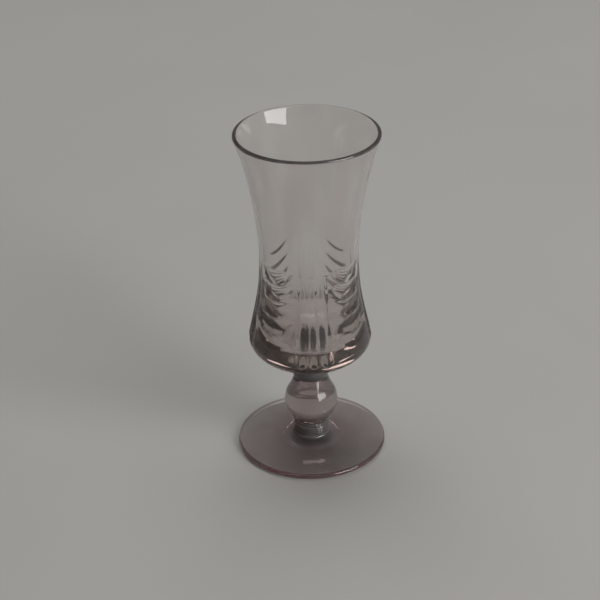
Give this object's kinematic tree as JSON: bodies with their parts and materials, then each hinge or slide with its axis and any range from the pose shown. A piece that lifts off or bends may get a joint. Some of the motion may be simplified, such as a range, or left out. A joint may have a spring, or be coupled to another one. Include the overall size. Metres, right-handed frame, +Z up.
{
  "type": "stemmed shot glass",
  "caption": "Small stemmed liqueur glass: trumpet-shaped bowl cut with flutes and stacked scoops, heavy base, ball knop and disc foot.",
  "frame": {"origin": "middle of the foot's underside, on the surface that the glass stands on", "axes": "+Z up along the glass's axis of turning; a panel of flutes faces -Y"},
  "size_m": [0.0528, 0.0528, 0.12],
  "materials": {
    "foot_glass": "polished clear glass with a faint mauve tint",
    "stem_glass": "polished clear glass with a faint mauve tint",
    "bowl_glass": "polished clear glass with a faint mauve tint, cut and repolished below the waist"
  },
  "bodies": {
    "root": {"foot": "foot_glass", "lower_collar": "stem_glass", "ball_knop": "stem_glass", "neck_collar": "stem_glass", "bowl": "bowl_glass"}
  },
  "joints": []
}
